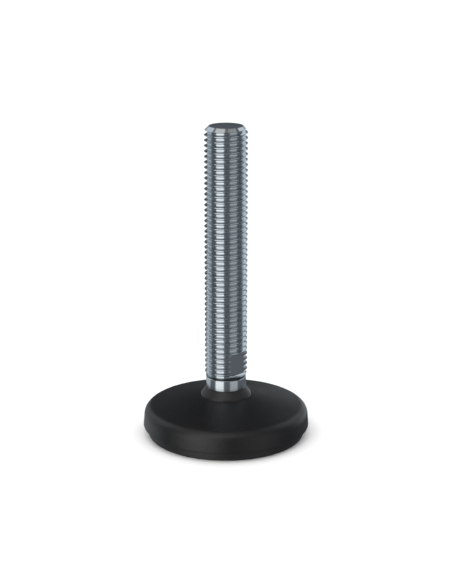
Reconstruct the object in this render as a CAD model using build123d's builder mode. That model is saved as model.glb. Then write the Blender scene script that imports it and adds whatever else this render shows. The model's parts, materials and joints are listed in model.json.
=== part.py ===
"""Machine foot: a threaded spindle carried by a ball joint in a round plastic foot plate.

Millimetres, +Z up along the spindle, origin on the floor at the foot's axis.
The spindle turns in the ball, the ball tilts in the plate's socket, and a rubber pad
under the plate stands on the floor.
"""
import os
from math import asin, cos, radians, sin, sqrt, tan

from build123d import *

# Foot plate: a shallow cone with a rounded rim, hollow and ribbed underneath
plate_diameter = 78.4
skirt_draft = 4.2
rim_radius = 4.7
skirt_edge_radius = 0.3
top_slope = 12.7
top_wall = 3.0
pad_shoulder = 2.0
hub_wall = 3.0
rib_count = 8
rib_thickness = 2.2
socket_floor = 2.4
mouth_chamfer = 0.15

# Rubber pad: a disc plugged into the plate's skirt, with its edge set in from the skirt's
pad_inset = 2.4
pad_stand = 4.5
pad_seat_depth = 1.8
pad_seat_clearance = 0.1
pad_edge_chamfer = 0.4

# Ball joint: a truncated ball with a conical neck, snapped into the plate's socket
ball_diameter = 25.0
ball_base_drop = 5.0
tilt_limit = 10.0
socket_clearance = 0.1
socket_floor_gap = 0.4
lip_undercut = 0.45
neck_land = 0.7
neck_flare = 37.0
neck_edge_radius = 3.0

# Spindle: zinc-plated stud with a run-out cone under its thread, a plain collar, wrench flats
# and a spigot inside the ball
thread_diameter = 20.0
thread_length = 119.3
tip_chamfer = 2.1
runout_angle = 17.0
runout_step = 0.2
collar_diameter = 18.8
collar_length = 5.1
collar_chamfer = 0.12
across_flats = 15.0
flats_length = 11.7
flats_rise = 1.6
flats_corner_radius = 1.6
spigot_diameter = 12.0
spigot_clearance = 0.08
spigot_end_inset = 1.0
spigot_end_chamfer = 0.8
thrust_clearance = 0.1

# Snap groove round the spigot, and the bead inside the ball that runs in it
groove_half_width = 1.0
groove_depth = 0.7
groove_drop = 4.0
bead_clearance = 0.1

# Radii that pieces share
plate_radius = plate_diameter / 2
pad_diameter = plate_diameter - 2 * pad_inset
pad_radius = pad_diameter / 2
ball_radius = ball_diameter / 2
socket_radius = ball_radius + socket_clearance
mouth_radius = socket_radius - lip_undercut
hub_radius = socket_radius + hub_wall
thread_radius = thread_diameter / 2
collar_radius = collar_diameter / 2
runout_base_radius = collar_radius - runout_step
spigot_radius = spigot_diameter / 2
bore_radius = spigot_radius + spigot_clearance

# Heights above the floor, stacked from the pad upwards
pad_top = pad_stand + pad_seat_depth
socket_floor_top = pad_top + socket_floor
ball_reach = ball_radius * sin(asin(ball_base_drop / ball_radius) + radians(tilt_limit))
ball_centre = socket_floor_top + socket_floor_gap + ball_reach
ball_base = ball_centre - ball_base_drop
ball_base_radius = sqrt(ball_radius**2 - ball_base_drop**2)
mouth_rise = sqrt(socket_radius**2 - mouth_radius**2)
mouth_height = ball_centre + mouth_rise
neck_base_rise = mouth_rise + neck_land
neck_base_radius = sqrt(ball_radius**2 - neck_base_rise**2)
neck_base = ball_centre + neck_base_rise
neck_top = neck_base + (neck_base_radius - collar_radius) / tan(radians(neck_flare))
collar_base = neck_top + thrust_clearance
collar_top = collar_base + collar_length
thread_top = collar_top + thread_length
runout_top = collar_top + (thread_radius - runout_base_radius) / tan(radians(runout_angle))
flats_base = collar_top + flats_rise
flats_top = flats_base + flats_length
spigot_end = ball_base + spigot_end_inset
groove_height = neck_top - groove_drop

# The plate's top cone and its drafted skirt, and the corner where they would meet
top_fall = tan(radians(top_slope))
skirt_lean = tan(radians(skirt_draft))
rim_corner = (mouth_height + top_fall * (mouth_radius - plate_radius) - top_fall * skirt_lean * pad_stand) / (
    1 - top_fall * skirt_lean
)
rim_corner_radius = plate_radius - skirt_lean * (rim_corner - pad_stand)

os.makedirs("parts", exist_ok=True)


def top_height(radius, depth=0.0):
    """Height of the plate's top cone at a radius, or of a surface that lies a wall's depth under it."""
    return mouth_height - top_fall * (radius - mouth_radius) - depth / cos(radians(top_slope))


# Anti-slip pad
with BuildPart() as anti_slip_pad:
    with BuildSketch():
        Circle(pad_radius)
    extrude(amount=pad_top)
    chamfer(anti_slip_pad.faces().sort_by(Axis.Z)[0].edges(), pad_edge_chamfer)
anti_slip_pad.part.label = "anti_slip_pad"
export_step(anti_slip_pad.part, "parts/anti_slip_pad.step")


# Pockets under the plate's top wall, between the radial ribs
pad_seat_radius = pad_radius + pad_seat_clearance
pocket_outer = pad_seat_radius - pad_shoulder
with BuildPart() as pockets:
    with BuildSketch(Plane.XZ):
        with BuildLine():
            Polyline(
                (hub_radius, pad_top),
                (pocket_outer, pad_top),
                (pocket_outer, top_height(pocket_outer, top_wall)),
                (hub_radius, top_height(hub_radius, top_wall)),
                close=True,
            )
        make_face()
    revolve(axis=Axis.Z)
    with BuildSketch(Plane.XY.offset(pad_top)):
        with PolarLocations(0, rib_count):
            Rectangle(plate_radius, rib_thickness, align=(Align.MIN, Align.CENTER))
    extrude(amount=mouth_height, mode=Mode.SUBTRACT)


# Foot plate: one turned outline with the pad's seat below and the ball's socket above
socket_floor_radius = sqrt(socket_radius**2 - (ball_centre - socket_floor_top) ** 2)
with BuildPart() as foot_plate:
    with BuildSketch(Plane.XZ) as plate_section:
        with BuildLine():
            Polyline(
                (0, socket_floor_top),
                (0, pad_top),
                (pad_seat_radius, pad_top),
                (pad_seat_radius, pad_stand),
                (plate_radius, pad_stand),
                (rim_corner_radius, rim_corner),
                (mouth_radius, mouth_height),
            )
            ThreePointArc(
                (mouth_radius, mouth_height),
                (socket_radius, ball_centre),
                (socket_floor_radius, socket_floor_top),
            )
            Line((socket_floor_radius, socket_floor_top), (0, socket_floor_top))
        make_face()
        fillet(plate_section.vertices().sort_by_distance((rim_corner_radius, rim_corner))[0], rim_radius)
        fillet(plate_section.vertices().sort_by_distance((plate_radius, pad_stand))[0], skirt_edge_radius)
    revolve(axis=Axis.Z)
    chamfer(foot_plate.edges().filter_by(GeomType.CIRCLE).sort_by(Axis.Z)[-1], mouth_chamfer)
    add(pockets.part, mode=Mode.SUBTRACT)
foot_plate.part.label = "foot_plate"
export_step(foot_plate.part, "parts/foot_plate.step")


# Ball joint: truncated ball, conical neck and a bore with a snap bead
bead_half_width = groove_half_width - bead_clearance
bead_radius = spigot_radius - groove_depth + bead_clearance
with BuildPart() as ball_joint:
    with BuildSketch(Plane.XZ) as ball_section:
        with BuildLine():
            Line((bore_radius, ball_base), (ball_base_radius, ball_base))
            ThreePointArc(
                (ball_base_radius, ball_base), (ball_radius, ball_centre), (neck_base_radius, neck_base)
            )
            Polyline((neck_base_radius, neck_base), (collar_radius, neck_top), (bore_radius, neck_top))
            Line((bore_radius, neck_top), (bore_radius, groove_height + bead_half_width))
            ThreePointArc(
                (bore_radius, groove_height + bead_half_width),
                (bead_radius, groove_height),
                (bore_radius, groove_height - bead_half_width),
            )
            Line((bore_radius, groove_height - bead_half_width), (bore_radius, ball_base))
        make_face()
        fillet(ball_section.vertices().sort_by_distance((neck_base_radius, neck_base))[0], neck_edge_radius)
    revolve(axis=Axis.Z)
ball_joint.part.label = "ball_joint"
export_step(ball_joint.part, "parts/ball_joint.step")


# Spindle: turned profile, then two wrench flats milled across the lowest threads
with BuildPart() as spindle:
    with BuildSketch(Plane.XZ):
        with BuildLine():
            Polyline(
                (0, spigot_end),
                (spigot_radius - spigot_end_chamfer, spigot_end),
                (spigot_radius, spigot_end + spigot_end_chamfer),
                (spigot_radius, groove_height - groove_half_width),
            )
            ThreePointArc(
                (spigot_radius, groove_height - groove_half_width),
                (spigot_radius - groove_depth, groove_height),
                (spigot_radius, groove_height + groove_half_width),
            )
            Polyline(
                (spigot_radius, groove_height + groove_half_width),
                (spigot_radius, collar_base),
                (collar_radius - collar_chamfer, collar_base),
                (collar_radius, collar_base + collar_chamfer),
                (collar_radius, collar_top - collar_chamfer),
                (collar_radius - collar_chamfer, collar_top),
                (runout_base_radius, collar_top),
                (thread_radius, runout_top),
                (thread_radius, thread_top - tip_chamfer),
                (thread_radius - tip_chamfer, thread_top),
                (0, thread_top),
                (0, spigot_end),
            )
        make_face()
    revolve(axis=Axis.Z)
    with BuildSketch(Plane.XZ) as flats_section:
        with BuildLine():
            Polyline(
                (across_flats / 2, flats_base),
                (thread_diameter, flats_base),
                (thread_diameter, flats_top),
                (across_flats / 2, flats_top),
                close=True,
            )
        make_face()
        fillet(flats_section.vertices().sort_by_distance((across_flats / 2, flats_base))[0], flats_corner_radius)
        mirror(about=Plane.YZ)
    extrude(amount=thread_diameter, both=True, mode=Mode.SUBTRACT)
spindle.part.label = "spindle"
export_step(spindle.part, "parts/spindle.step")
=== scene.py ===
"""Looks of a machine foot: zinc-plated threaded spindle, black ball joint, moulded plate and rubber pad.

Metres, +Z up along the spindle, origin on the floor at the foot's axis.
"""
import json
from math import asin, cos, pi, radians, sin, sqrt, tan

import bmesh
import bpy
import numpy as np
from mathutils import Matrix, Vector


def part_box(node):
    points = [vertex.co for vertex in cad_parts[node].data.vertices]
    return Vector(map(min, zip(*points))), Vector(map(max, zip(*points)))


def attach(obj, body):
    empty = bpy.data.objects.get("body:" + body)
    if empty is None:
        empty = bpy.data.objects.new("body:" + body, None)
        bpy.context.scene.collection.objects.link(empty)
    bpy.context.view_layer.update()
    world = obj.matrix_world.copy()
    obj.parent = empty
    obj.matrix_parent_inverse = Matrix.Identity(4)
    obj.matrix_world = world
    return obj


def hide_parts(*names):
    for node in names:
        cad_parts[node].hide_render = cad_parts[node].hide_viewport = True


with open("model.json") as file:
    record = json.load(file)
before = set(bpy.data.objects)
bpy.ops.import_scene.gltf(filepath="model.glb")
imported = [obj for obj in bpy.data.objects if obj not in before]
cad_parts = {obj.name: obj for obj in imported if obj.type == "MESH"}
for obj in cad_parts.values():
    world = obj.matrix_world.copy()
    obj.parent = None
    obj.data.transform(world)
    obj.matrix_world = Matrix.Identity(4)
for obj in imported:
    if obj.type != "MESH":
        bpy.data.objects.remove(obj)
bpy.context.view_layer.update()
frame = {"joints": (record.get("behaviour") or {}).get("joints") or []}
mm = 0.001

# Thread, an M20 with a 2.5 mm pitch: its outline, the place of one root, and its fade above the collar
thread_radius = 10.0 * mm
thread_pitch = 2.5 * mm
half_flank_angle = radians(30.0)
crest_half_flat = thread_pitch / 16
crest_round = 0.08 * mm
root_half_flat = thread_pitch / 8
root_round = 0.12 * mm
flank_shares = np.array((0.06, 0.4))
root_height = 145.5 * mm
root_bearing = radians(-44.0)
fade_start = 0.5 * mm
fade_length = 1.0 * mm

# Spindle below and above the thread
thread_length = 119.3 * mm
tip_chamfer = 2.1 * mm
runout_angle = radians(17.0)
runout_step = 0.2 * mm
collar_radius = 9.4 * mm
collar_length = 5.1 * mm
collar_chamfer = 0.12 * mm
half_across_flats = 7.5 * mm
flats_length = 11.7 * mm
flats_rise = 1.6 * mm
flats_corner_radius = 1.6 * mm
spigot_radius = 6.0 * mm
spigot_end_chamfer = 0.8 * mm
groove_half_width = 1.0 * mm
groove_depth = 0.7 * mm
groove_drop = 4.0 * mm

# Ball joint
spigot_clearance = 0.08 * mm
bead_clearance = 0.1 * mm
neck_land = 0.7 * mm
neck_edge_radius = 3.0 * mm

# Foot plate
plate_radius = 39.2 * mm
skirt_lean = tan(radians(4.2))
rim_radius = 4.7 * mm
skirt_edge_radius = 0.3 * mm
top_slope = radians(12.7)
top_wall = 3.0 * mm
pad_shoulder = 2.0 * mm
hub_wall = 3.0 * mm
rib_count = 8
rib_thickness = 2.2 * mm
socket_floor = 2.4 * mm
socket_clearance = 0.1 * mm
lip_undercut = 0.45 * mm
mouth_chamfer = 0.15 * mm
pad_seat_clearance = 0.1 * mm
pad_edge_chamfer = 0.4 * mm

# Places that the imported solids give
spindle_low, spindle_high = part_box("spindle")
ball_low, ball_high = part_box("ball_joint")
plate_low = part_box("foot_plate")[0]
pad_low, pad_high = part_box("anti_slip_pad")
ball_centre = frame["joints"][0]["pos_m"][2]
ball_radius = ball_high.x
thread_top = spindle_high.z
collar_top = thread_top - thread_length
collar_base = collar_top - collar_length
flats_base = collar_top + flats_rise
flats_top = flats_base + flats_length
groove_height = ball_high.z - groove_drop
socket_radius = ball_radius + socket_clearance
mouth_radius = socket_radius - lip_undercut
mouth_height = ball_centre + sqrt(socket_radius**2 - mouth_radius**2)
pad_radius = pad_high.x
pad_top = pad_high.z
pad_seat_radius = pad_radius + pad_seat_clearance

# Fineness of the meshes
spindle_segments = 112
ball_segments = 128
plate_segments = 192
thread_round_steps = 2
spare_turns = 2
corner_steps = 8
ball_steps = 24
rim_steps = 20
skirt_edge_steps = 6
pocket_steps = 16
sharp_edge_angle = radians(32.0)
square_to_x = 0.999
weld_distance = 0.001 * mm


def joined(*runs):
    """One array of section points from single points and runs of points, in order."""
    return np.vstack([np.atleast_2d(run) for run in runs])


def arc(centre, radius, start, end, steps):
    """Arc in the section plane: centre + radius (cos a, sin a), with a in even steps from start to end."""
    angle = np.linspace(start, end, steps + 1)
    return np.array(centre) + radius * np.column_stack((np.cos(angle), np.sin(angle)))


def rounded(before, corner, after, radius, steps):
    """Arc that rounds a corner: it meets each side at radius / tan(half the corner's angle) from it."""
    before, corner, after = (np.array(p, float) for p in (before, corner, after))
    u = (before - corner) / np.linalg.norm(before - corner)
    v = (after - corner) / np.linalg.norm(after - corner)
    half = np.arccos(np.dot(u, v)) / 2
    centre = corner + (u + v) / np.linalg.norm(u + v) * radius / sin(half)
    first = corner + u * radius / tan(half) - centre
    last = corner + v * radius / tan(half) - centre
    start = np.arctan2(first[1], first[0])
    sweep = (np.arctan2(last[1], last[0]) - start + pi) % (2 * pi) - pi
    return arc(centre, radius, start, start + sweep, steps)


def arc_through(first, middle, last, steps):
    """Arc through three points: its centre is as far from each, found from the two chords' bisectors."""
    first, middle, last = (np.array(p, float) for p in (first, middle, last))
    chords = np.array([middle - first, last - first])
    centre = first + np.linalg.solve(chords, (chords**2).sum(1) / 2)
    start, way, end = (np.arctan2(*(p - centre)[::-1]) for p in (first, middle, last))
    bend = (way - start + pi) % (2 * pi) - pi
    sweep = (end - start) % (2 * pi) if bend > 0 else (end - start) % (2 * pi) - 2 * pi
    return arc(centre, np.linalg.norm(first - centre), start, start + sweep, steps)


def closed_quads(rows, columns, climb=0):
    """Quads of a grid of points whose last column meets its first, a number of rows further on."""
    index = np.arange(rows * columns).reshape(rows, columns)
    inner = np.stack((index[:-1, :-1], index[:-1, 1:], index[1:, 1:], index[1:, :-1]), axis=-1)
    last, first = index[: rows - climb, -1], index[climb:, 0]
    seam = np.stack((last[:-1], first[:-1], first[1:], last[1:]), axis=-1)
    return np.vstack((inner.reshape(-1, 4), seam))


def turned(section, segments):
    """Surface of revolution: each section point (r, z) goes round the axis as (r cos a, r sin a, z)."""
    angle = 2 * pi * np.arange(segments) / segments
    radius, height = section[:, :1], section[:, 1:]
    points = np.stack((radius * np.cos(angle), radius * np.sin(angle), height + 0 * angle), axis=-1)
    return points.reshape(-1, 3), closed_quads(len(section), segments)


def prism(stations):
    """Closed outline carried along a path: the stations' points join one by one, and the ends are capped."""
    count, corners = stations.shape[:2]
    sides = closed_quads(count, corners)
    caps = [list(range(corners)), list(range((count - 1) * corners, count * corners))]
    return stations.reshape(-1, 3), sides.tolist() + caps


def together(*shapes):
    """Points and faces of several shapes as one list each."""
    points, faces, start = [], [], 0
    for shape_points, shape_faces in shapes:
        points.append(shape_points)
        faces += [[start + corner for corner in face] for face in shape_faces]
        start += len(shape_points)
    return np.vstack(points), faces


def new_object(name, shape):
    """Object at the origin whose mesh holds the shape, with doubles welded and faces turned outwards."""
    points, faces = shape
    mesh = bpy.data.meshes.new(name)
    mesh.from_pydata(points.tolist(), [], [list(face) for face in faces])
    shell = bmesh.new()
    shell.from_mesh(mesh)
    bmesh.ops.remove_doubles(shell, verts=shell.verts, dist=weld_distance)
    bmesh.ops.dissolve_degenerate(shell, edges=shell.edges, dist=weld_distance)
    bmesh.ops.recalc_face_normals(shell, faces=shell.faces)
    shell.to_mesh(mesh)
    shell.free()
    piece = bpy.data.objects.new(name, mesh)
    bpy.context.scene.collection.objects.link(piece)
    return piece


def cut_away(piece, cutter_shape):
    """Takes the cutter's volume out of a piece and keeps the result as the piece's own mesh."""
    cutter = new_object("cutter", cutter_shape)
    cut = piece.modifiers.new("cut", "BOOLEAN")
    cut.operation = "DIFFERENCE"
    cut.solver = "MANIFOLD"
    cut.object = cutter
    depsgraph = bpy.context.evaluated_depsgraph_get()
    mesh = bpy.data.meshes.new_from_object(piece.evaluated_get(depsgraph))
    piece.modifiers.remove(cut)
    piece.data = mesh
    bpy.data.objects.remove(cutter)


def shade(mesh):
    """Smooth shading between sharp edges, and flat shading on the two milled faces square to X."""
    mesh.shade_smooth()
    mesh.set_sharp_from_angle(angle=sharp_edge_angle)
    middle = np.empty(3 * len(mesh.polygons))
    normal = np.empty(3 * len(mesh.polygons))
    mesh.polygons.foreach_get("center", middle)
    mesh.polygons.foreach_get("normal", normal)
    away_from_flat = np.abs(np.abs(middle[::3]) - half_across_flats) > weld_distance
    mesh.polygons.foreach_set("use_smooth", away_from_flat | (np.abs(normal[::3]) < square_to_x))


def seat(piece, body, node, finish):
    """Gives a piece its finish and shading, and puts it in the node's place."""
    piece.data.materials.clear()
    piece.data.materials.append(finish)
    shade(piece.data)
    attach(piece, body)
    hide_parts(node)


def thread_profile():
    """One pitch of the thread's outline, as distance along the axis from a crest's middle and as radius.

    The flanks stand at 60 degrees to each other, and the flats of crest and root meet them in small arcs.
    Two points on each flank, at shares of its length, keep its shading flat.
    """
    flank_turn = pi / 2 - half_flank_angle
    turn = np.linspace(0, flank_turn, thread_round_steps + 1)
    depth = (thread_pitch / 2 - crest_half_flat - root_half_flat) / tan(half_flank_angle)
    crest_along = crest_half_flat + crest_round * (np.sin(turn) - tan(flank_turn / 2))
    crest_radius = thread_radius - crest_round * (1 - np.cos(turn))
    root_along = thread_pitch / 2 - root_half_flat - root_round * (np.sin(turn) - tan(flank_turn / 2))
    root_radius = thread_radius - depth + root_round * (1 - np.cos(turn))
    flank_along = crest_along[-1] + flank_shares * (root_along[-1] - crest_along[-1])
    flank_radius = crest_radius[-1] + flank_shares * (root_radius[-1] - crest_radius[-1])
    half_along = np.concatenate((crest_along, flank_along, root_along[::-1]))
    half_radius = np.concatenate((crest_radius, flank_radius, root_radius[::-1]))
    return np.concatenate((-half_along[::-1], half_along)), np.concatenate((half_radius[::-1], half_radius))


def thread_surface():
    """Helical surface: the outline of one pitch is repeated up the axis and climbs a pitch per turn.

    A point at bearing a stands at height = start + along + pitch * a / one turn. Heights stop at the
    collar's base and at the tip. The groove's depth fades in above the collar by a smooth step.
    """
    along, radius = thread_profile()
    count = len(along)
    turns = int(np.ceil((thread_top - collar_base) / thread_pitch)) + spare_turns + 1
    crest_start = root_height + thread_pitch * (0.5 - root_bearing / (2 * pi))
    turns_below = np.ceil((crest_start - collar_base) / thread_pitch) + spare_turns
    start = crest_start - thread_pitch * turns_below
    bearing = 2 * pi * np.arange(spindle_segments) / spindle_segments
    climb = thread_pitch * np.arange(turns)[:, None] + along
    free_height = start + climb.reshape(-1, 1) + thread_pitch * bearing / (2 * pi)
    height = np.clip(free_height, collar_base, thread_top)
    phase = (height - crest_start - thread_pitch * bearing / (2 * pi)) / thread_pitch
    across = (phase + 0.5) % 1.0 - 0.5
    outline = np.interp(across * thread_pitch, along, radius)
    share = np.clip((height - collar_top - fade_start) / fade_length, 0, 1)
    reach = thread_radius - (thread_radius - outline) * share**2 * (3 - 2 * share)
    points = np.stack((reach * np.cos(bearing), reach * np.sin(bearing), height), axis=-1)
    lid = np.zeros((1, spindle_segments, 3)) + (0, 0, thread_top)
    rim_to_middle = np.concatenate((points[-1:], lid))
    return together(
        (points.reshape(-1, 3), closed_quads(turns * count, spindle_segments, climb=count)),
        (rim_to_middle.reshape(-1, 3), closed_quads(2, spindle_segments)),
    )


def spigot_section():
    """Outline from the stud's lower end down to the spigot's end, with the snap groove."""
    return joined(
        (thread_radius, collar_base),
        (spigot_radius, collar_base),
        arc_through(
            (spigot_radius, groove_height + groove_half_width),
            (spigot_radius - groove_depth, groove_height),
            (spigot_radius, groove_height - groove_half_width),
            corner_steps,
        ),
        (spigot_radius, spindle_low.z + spigot_end_chamfer),
        (spigot_radius - spigot_end_chamfer, spindle_low.z),
        (0, spindle_low.z),
    )


def wrench_flat_cutter(side):
    """Block that mills one flat: its outline across the flat has a rounded lower corner and runs along Y."""
    clear = 2 * thread_radius
    flat_top = (half_across_flats, flats_top)
    flat_foot = (half_across_flats, flats_base)
    outer_foot = (clear, flats_base)
    outline = joined(
        flat_top,
        rounded(flat_top, flat_foot, outer_foot, flats_corner_radius, corner_steps),
        outer_foot,
        (clear, flats_top),
    )
    along = np.array([-clear, clear])[:, None]
    across, height = outline.T
    return prism(np.stack((side * (across + 0 * along), along + 0 * across, height + 0 * along), axis=-1))


def collar_cutter():
    """Ring that turns the collar and, above it, the run-out cone that widens to the thread."""
    over = 1.0 * mm
    runout_radius = collar_radius - runout_step
    cone_end = thread_radius + over
    cone_height = collar_top + (cone_end - runout_radius) / tan(runout_angle)
    loop = np.array(
        [
            (collar_radius - collar_chamfer - over, collar_base - over),
            (collar_radius, collar_base + collar_chamfer),
            (collar_radius, collar_top - collar_chamfer),
            (collar_radius - collar_chamfer, collar_top),
            (runout_radius, collar_top),
            (cone_end, cone_height),
            (cone_end + over, cone_height),
            (cone_end + over, collar_base - over),
            (collar_radius - collar_chamfer - over, collar_base - over),
        ]
    )
    return turned(loop, spindle_segments)


def tip_cutter():
    """Ring that turns the chamfer at the tip: its inner face is a 45 degree cone through the tip's edge."""
    inner = thread_radius - 2 * tip_chamfer
    outer = thread_radius + 2 * tip_chamfer
    loop = np.array(
        [
            (inner, thread_top + tip_chamfer),
            (thread_radius + tip_chamfer, thread_top - 2 * tip_chamfer),
            (outer, thread_top - 2 * tip_chamfer),
            (outer, thread_top + tip_chamfer),
            (inner, thread_top + tip_chamfer),
        ]
    )
    return turned(loop, spindle_segments)


def ball_section():
    """Outline of the ball joint: truncated ball, conical neck with a rounded edge, bore with a snap bead."""
    bore_radius = spigot_radius + spigot_clearance
    bead_half_width = groove_half_width - bead_clearance
    bead_radius = spigot_radius - groove_depth + bead_clearance
    neck_rise = mouth_height - ball_centre + neck_land
    base_angle = asin((ball_low.z - ball_centre) / ball_radius)
    neck_angle = asin(neck_rise / ball_radius)
    neck_corner = (ball_radius * cos(neck_angle), ball_centre + neck_rise)
    ball_side = (neck_corner[0] + sin(neck_angle), neck_corner[1] - cos(neck_angle))
    neck_top = (collar_radius, ball_high.z)
    neck_edge = rounded(ball_side, neck_corner, neck_top, neck_edge_radius, corner_steps)
    edge_angle = np.arctan2(neck_edge[0, 1] - ball_centre, neck_edge[0, 0])
    return joined(
        (bore_radius, ball_low.z),
        arc((0, ball_centre), ball_radius, base_angle, edge_angle, ball_steps),
        neck_edge[1:],
        neck_top,
        (bore_radius, ball_high.z),
        arc_through(
            (bore_radius, groove_height + bead_half_width),
            (bead_radius, groove_height),
            (bore_radius, groove_height - bead_half_width),
            corner_steps,
        ),
        (bore_radius, ball_low.z),
    )


def top_height(radius, depth=0.0):
    """Height of the plate's top cone at a radius, or of the face that lies a wall's depth under it."""
    return mouth_height - tan(top_slope) * (radius - mouth_radius) - depth / cos(top_slope)


def plate_section():
    """Outline of the foot plate: pad seat, drafted skirt, rounded rim, conical top and ball socket."""
    skirt_foot = (plate_radius, plate_low.z)
    fall = tan(top_slope)
    corner_height = top_height(plate_radius) - fall * skirt_lean * plate_low.z
    corner_height = corner_height / (1 - fall * skirt_lean)
    corner = (plate_radius - skirt_lean * (corner_height - plate_low.z), corner_height)
    mouth = (mouth_radius, mouth_height)
    floor_height = pad_top + socket_floor
    floor_angle = asin((floor_height - ball_centre) / socket_radius)
    lip_angle = asin((mouth_height - ball_centre) / socket_radius) - mouth_chamfer / socket_radius
    return joined(
        (0, pad_top),
        (pad_seat_radius, pad_top),
        (pad_seat_radius, plate_low.z),
        rounded((0, plate_low.z), skirt_foot, corner, skirt_edge_radius, skirt_edge_steps),
        rounded(skirt_foot, corner, mouth, rim_radius, rim_steps),
        (mouth_radius + mouth_chamfer, top_height(mouth_radius + mouth_chamfer)),
        arc((0, ball_centre), socket_radius, lip_angle, floor_angle, ball_steps),
        (0, floor_height),
    )


def rib_pockets():
    """Pockets between the plate's ribs: a four-cornered section swept round the axis from rib to rib.

    The rib faces are parallel, so at radius r a pocket starts asin(half rib / r) past its rib's middle.
    """
    outer = pad_seat_radius - pad_shoulder
    inner = socket_radius + hub_wall
    below = pad_top - top_wall
    radius = np.array([inner, outer, outer, inner])
    height = np.array([below, below, top_height(outer, top_wall), top_height(inner, top_wall)])
    share = np.linspace(0, 1, pocket_steps + 1)[:, None]
    margin = np.arcsin(rib_thickness / 2 / radius)
    bearing = margin + share * (2 * pi / rib_count - 2 * margin)
    turns = [bearing + 2 * pi * k / rib_count for k in range(rib_count)]
    return together(
        *(prism(np.stack((radius * np.cos(a), radius * np.sin(a), height + 0 * a), axis=-1)) for a in turns)
    )


def pad_section():
    """Outline of the rubber pad: a disc with a chamfered lower edge."""
    return joined(
        (0, pad_low.z),
        (pad_radius - pad_edge_chamfer, pad_low.z),
        (pad_radius, pad_low.z + pad_edge_chamfer),
        (pad_radius, pad_top),
        (0, pad_top),
    )


# Detail of the grain and of the patches, and the values between which such a noise mostly lies
grain_detail = 2.0
patch_detail = 3.0
noise_low = 0.3
noise_high = 0.7


def node_group(name, inputs, outputs):
    """Empty shader node group with named value inputs and outputs."""
    group = bpy.data.node_groups.new(name, "ShaderNodeTree")
    for label in inputs:
        group.interface.new_socket(label, in_out="INPUT", socket_type="NodeSocketFloat")
    for label in outputs:
        group.interface.new_socket(label, in_out="OUTPUT", socket_type="NodeSocketFloat")
    entry = group.nodes.new("NodeGroupInput")
    leave = group.nodes.new("NodeGroupOutput")
    return group, entry, leave


def surface_grain_group():
    """Fine grain and broad patches: two noises on object coordinates, each with its count per metre."""
    inputs = ["Grain per metre", "Patches per metre"]
    group, entry, leave = node_group("surface_grain", inputs, ["Grain", "Patches"])
    place = group.nodes.new("ShaderNodeTexCoord")
    for label, detail in (("Grain", grain_detail), ("Patches", patch_detail)):
        noise = group.nodes.new("ShaderNodeTexNoise")
        noise.inputs["Detail"].default_value = detail
        group.links.new(place.outputs["Object"], noise.inputs["Vector"])
        group.links.new(entry.outputs[label + " per metre"], noise.inputs["Scale"])
        group.links.new(noise.outputs["Fac"], leave.inputs[label])
    return group


surface_grain = surface_grain_group()


def new_finish(name):
    """Empty material with its Principled shader."""
    finish = bpy.data.materials.new(name)
    finish.use_nodes = True
    nodes, links = finish.node_tree.nodes, finish.node_tree.links
    return finish, nodes, links, nodes["Principled BSDF"]


def add_ramp(nodes, links, mask, low, high, socket):
    """Feeds a socket with a value, or a colour, that runs from low to high with the mask."""
    if isinstance(low, tuple):
        blend = nodes.new("ShaderNodeMix")
        blend.data_type = "RGBA"
        blend.inputs["A"].default_value = (*low, 1)
        blend.inputs["B"].default_value = (*high, 1)
        links.new(mask, blend.inputs["Factor"])
        links.new(blend.outputs["Result"], socket)
        return
    span = nodes.new("ShaderNodeMapRange")
    span.inputs["From Min"].default_value = noise_low
    span.inputs["From Max"].default_value = noise_high
    span.inputs["To Min"].default_value = low
    span.inputs["To Max"].default_value = high
    links.new(mask, span.inputs["Value"])
    links.new(span.outputs["Result"], socket)


def add_bump(nodes, links, height, shader, depth, strength):
    """Small relief of a surface: height times depth, in metres."""
    bump = nodes.new("ShaderNodeBump")
    bump.inputs["Strength"].default_value = strength
    bump.inputs["Distance"].default_value = depth
    links.new(height, bump.inputs["Height"])
    links.new(bump.outputs["Normal"], shader.inputs["Normal"])


def add_grain(nodes, grain, patches):
    """The surface's grain and patches, at their counts per metre."""
    texture = nodes.new("ShaderNodeGroup")
    texture.node_tree = surface_grain
    texture.inputs["Grain per metre"].default_value = grain
    texture.inputs["Patches per metre"].default_value = patches
    return texture


def moulded_finish(name, dark, light, roughness, gloss, grain, patches, depth, strength):
    """Black moulding: near-black colour in broad patches, with a fine grain in relief and roughness."""
    finish, nodes, links, shader = new_finish(name)
    shader.inputs["Specular IOR Level"].default_value = gloss
    texture = add_grain(nodes, grain, patches)
    add_ramp(nodes, links, texture.outputs["Patches"], dark, light, shader.inputs["Base Color"])
    add_ramp(nodes, links, texture.outputs["Grain"], *roughness, shader.inputs["Roughness"])
    add_bump(nodes, links, texture.outputs["Grain"], shader, depth, strength)
    return finish


def plated_finish(name, dark, light, edge, roughness, grain, patches, depth, strength):
    """Bright plating: metal whose tint and roughness vary in patches, with a tint at grazing angles."""
    finish, nodes, links, shader = new_finish(name)
    shader.inputs["Metallic"].default_value = 1.0
    shader.inputs["Specular Tint"].default_value = (*edge, 1)
    texture = add_grain(nodes, grain, patches)
    add_ramp(nodes, links, texture.outputs["Patches"], dark, light, shader.inputs["Base Color"])
    add_ramp(nodes, links, texture.outputs["Patches"], *roughness, shader.inputs["Roughness"])
    add_bump(nodes, links, texture.outputs["Grain"], shader, depth, strength)
    return finish


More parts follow.
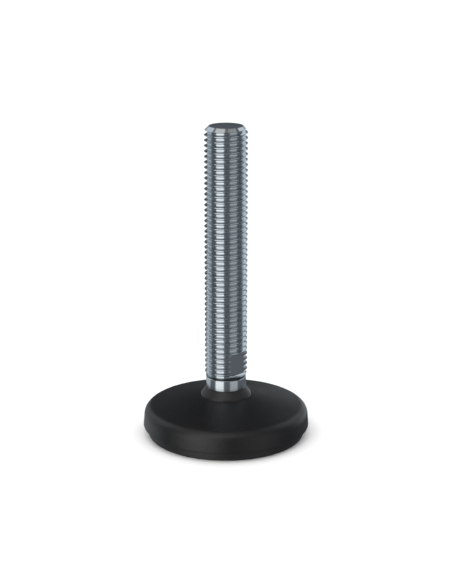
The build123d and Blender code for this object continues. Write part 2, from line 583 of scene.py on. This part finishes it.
def build_foot():
    """Makes the four pieces and seats each in place of its solid."""
    stud = together(thread_surface(), turned(spigot_section(), spindle_segments))
    spindle = new_object("threaded_spindle", stud)
    cut_away(spindle, together(collar_cutter(), tip_cutter()))
    cut_away(spindle, together(wrench_flat_cutter(1), wrench_flat_cutter(-1)))
    zinc = plated_finish(
        "zinc_plating",
        dark=(0.60, 0.65, 0.69),
        light=(0.66, 0.70, 0.73),
        edge=(0.92, 0.965, 1.0),
        roughness=(0.13, 0.19),
        grain=3000.0,
        patches=150.0,
        depth=0.004 * mm,
        strength=0.1,
    )
    seat(spindle, "spindle", "spindle", zinc)

    ball = new_object("ball_and_neck", turned(ball_section(), ball_segments))
    acetal = moulded_finish(
        "smooth_acetal",
        dark=(0.012, 0.012, 0.0121),
        light=(0.014, 0.014, 0.0141),
        roughness=(0.38, 0.46),
        gloss=0.5,
        grain=1500.0,
        patches=90.0,
        depth=0.01 * mm,
        strength=0.1,
    )
    seat(ball, "ball", "ball_joint", acetal)

    plate = new_object("moulded_plate", turned(plate_section(), plate_segments))
    cut_away(plate, rib_pockets())
    polyamide = moulded_finish(
        "grained_polyamide",
        dark=(0.002, 0.002, 0.0021),
        light=(0.003, 0.003, 0.0031),
        roughness=(0.33, 0.45),
        gloss=0.7,
        grain=1700.0,
        patches=50.0,
        depth=0.24 * mm,
        strength=0.6,
    )
    seat(plate, "foot", "foot_plate", polyamide)

    pad = new_object("rubber_disc", turned(pad_section(), plate_segments))
    rubber = moulded_finish(
        "matt_rubber",
        dark=(0.007, 0.007, 0.0071),
        light=(0.010, 0.010, 0.0101),
        roughness=(0.42, 0.56),
        gloss=0.65,
        grain=1800.0,
        patches=70.0,
        depth=0.08 * mm,
        strength=0.4,
    )
    seat(pad, "foot", "anti_slip_pad", rubber)


# Camera of the photograph: bearing round the axis, distance from it, height, tilt and focal length
camera_bearing = 46.0
camera_distance = 0.703
camera_height = 0.2777
camera_tilt = 16.5
image_height = 584
focal_pixels = 1575.0
sensor_size = 36.0

# Studio: places of lamps, floor and wall
softbox_distance = 2.4
ceiling_height = 2.4
floor_half = 2.9
floor_drop = 0.05 * mm
wall_height = 6.0
wall_segments = 64

# Room in the reflections: brightness, tint, and the upward shares of a direction between which it dims
wall_brightness = 0.15
ceiling_brightness = 0.02
room_tint = (0.88, 0.94, 1.0)
dim_start = 0.1
dim_end = 0.4

# Tints of the lamps, and the sky that lights the floor
key_tint = (1.0, 0.99, 0.97)
fill_tint = (1.0, 1.0, 1.0)
edge_tint = (0.89, 0.95, 1.0)
side_tint = (0.96, 0.98, 1.0)
rim_tint = (0.88, 0.95, 1.0)
warm_tint = (1.0, 0.97, 0.93)
ceiling_tint = (1.0, 0.98, 0.95)
sky_strength = 2.5
sky_spread = radians(100)

# Ground
floor_white = (0.98, 0.98, 0.98)
floor_roughness = 0.9
wall_white = (1.0, 1.0, 1.0)


def place_camera():
    """Camera on its bearing, turned to the axis and tilted down."""
    data = bpy.data.cameras.new("photo_camera")
    data.sensor_width = sensor_size
    data.lens = focal_pixels * sensor_size / image_height
    camera = bpy.data.objects.new("photo_camera", data)
    bearing = radians(camera_bearing)
    camera.location = (camera_distance * sin(bearing), -camera_distance * cos(bearing), camera_height)
    camera.rotation_euler = (radians(90 - camera_tilt), 0, bearing)
    bpy.context.scene.collection.objects.link(camera)
    bpy.context.scene.camera = camera


def studio_place(right, away, up):
    """Place seen from the camera: metres to the right of the foot's axis, away behind it, and up."""
    bearing = radians(camera_bearing)
    return (right * cos(bearing) - away * sin(bearing), right * sin(bearing) + away * cos(bearing), up)


def add_panel(name, place, turn, size, brightness, tint):
    """Flat soft light whose face has the given brightness, turned by Euler angles from facing down."""
    data = bpy.data.lights.new(name, "AREA")
    data.shape = "RECTANGLE"
    data.size, data.size_y = size
    data.energy = brightness * pi * size[0] * size[1]
    data.color = tint
    lamp = bpy.data.objects.new(name, data)
    lamp.location = place
    lamp.rotation_euler = turn
    lamp.visible_camera = False
    bpy.context.scene.collection.objects.link(lamp)


def add_softbox(name, side, width, foot, head, brightness, tint):
    """Upright panel that faces the foot, degrees to the right of the camera and between two heights."""
    angle = radians(side)
    right, away = softbox_distance * sin(angle), -softbox_distance * cos(angle)
    place = studio_place(right, away, (foot + head) / 2)
    turn = (radians(90), 0, radians(camera_bearing) + angle)
    add_panel(name, place, turn, (width, head - foot), brightness, tint)


def hang_panel(name, across, along, brightness, tint):
    """Level panel above the foot, between two places across the view and two along it."""
    place = studio_place(sum(across) / 2, sum(along) / 2, ceiling_height)
    size = (across[1] - across[0], along[1] - along[0])
    add_panel(name, place, (0, 0, radians(camera_bearing)), size, brightness, tint)


def dim_room():
    """Room seen in the reflections: dim walls that darken to the ceiling, by how far up a direction goes."""
    world = bpy.data.worlds.new("dim_room")
    world.use_nodes = True
    nodes, links = world.node_tree.nodes, world.node_tree.links
    direction = nodes.new("ShaderNodeTexCoord")
    split = nodes.new("ShaderNodeSeparateXYZ")
    fade = nodes.new("ShaderNodeMapRange")
    fade.interpolation_type = "SMOOTHSTEP"
    fade.inputs["From Min"].default_value = dim_start
    fade.inputs["From Max"].default_value = dim_end
    fade.inputs["To Min"].default_value = wall_brightness
    fade.inputs["To Max"].default_value = ceiling_brightness
    background = nodes["Background"]
    background.inputs["Color"].default_value = (*room_tint, 1)
    links.new(direction.outputs["Generated"], split.inputs["Vector"])
    links.new(split.outputs["Z"], fade.inputs["Value"])
    links.new(fade.outputs["Result"], background.inputs["Strength"])
    bpy.context.scene.world = world


def light_studio():
    """Eight softboxes round the foot, four panels above it and a wide sky that lights the floor."""
    add_softbox("key_left", side=-37.8, width=2.2, foot=-1.5, head=2.9, brightness=1.08, tint=key_tint)
    add_softbox("fill_right", side=47.2, width=2.1, foot=-1.5, head=2.9, brightness=0.35, tint=fill_tint)
    add_softbox("edge_left", side=-132.0, width=2.8, foot=-1.3, head=0.75, brightness=0.43, tint=edge_tint)
    add_softbox("edge_right", side=144.0, width=2.6, foot=-0.4, head=0.5, brightness=0.82, tint=edge_tint)
    add_softbox("side_left", side=-88.0, width=2.0, foot=1.0, head=4.6, brightness=0.12, tint=side_tint)
    add_softbox("side_right", side=88.0, width=2.0, foot=1.0, head=4.6, brightness=0.12, tint=side_tint)
    add_softbox("rim_left", side=-128.0, width=2.4, foot=0.9, head=3.0, brightness=0.74, tint=rim_tint)
    add_softbox("rim_right", side=132.0, width=2.4, foot=0.9, head=3.0, brightness=0.8, tint=rim_tint)
    hang_panel("ceiling_left", across=(-1.5, -0.15), along=(-1.0, 0.6), brightness=0.7, tint=warm_tint)
    hang_panel("ceiling_middle", across=(-0.15, 0.3), along=(-1.0, 0.6), brightness=0.16, tint=ceiling_tint)
    hang_panel("ceiling_right", across=(0.3, 1.5), along=(-1.0, 0.4), brightness=0.34, tint=ceiling_tint)
    hang_panel("ceiling_front", across=(-1.4, 0.8), along=(-2.8, -1.0), brightness=0.9, tint=ceiling_tint)

    data = bpy.data.lights.new("sky_panel", "SUN")
    data.energy = sky_strength
    data.angle = sky_spread
    sky = bpy.data.objects.new("sky_panel", data)
    sky.visible_glossy = False
    bpy.context.scene.collection.objects.link(sky)


def lay_floor():
    """Plain white floor, kept out of the reflections so that the metal shows the dim room."""
    across = floor_half * np.array([-1, 1, 1, -1])
    along = floor_half * np.array([-1, -1, 1, 1])
    corners = np.column_stack((across, along, np.full(4, -floor_drop)))
    floor = new_object("floor", (corners, [[0, 1, 2, 3]]))
    finish, _, _, shader = new_finish("white_floor")
    shader.inputs["Base Color"].default_value = (*floor_white, 1)
    shader.inputs["Roughness"].default_value = floor_roughness
    shader.inputs["Specular IOR Level"].default_value = 0.0
    floor.data.materials.append(finish)
    floor.visible_glossy = False
    floor.visible_shadow = False


def stand_backdrop():
    """White wall round the floor for low views, which the camera alone sees, so it lights nothing."""
    foot_and_head = np.array([(floor_half, -floor_drop), (floor_half, wall_height)])
    wall = new_object("backdrop", turned(foot_and_head, wall_segments))
    finish, _, _, shader = new_finish("white_wall")
    shader.inputs["Base Color"].default_value = (0, 0, 0, 1)
    shader.inputs["Specular IOR Level"].default_value = 0.0
    shader.inputs["Emission Color"].default_value = (*wall_white, 1)
    shader.inputs["Emission Strength"].default_value = 1.0
    wall.data.materials.append(finish)
    wall.visible_diffuse = False
    wall.visible_glossy = False
    wall.visible_shadow = False


build_foot()
place_camera()
dim_room()
light_studio()
lay_floor()
stand_backdrop()
bpy.context.scene.view_settings.view_transform = "Standard"
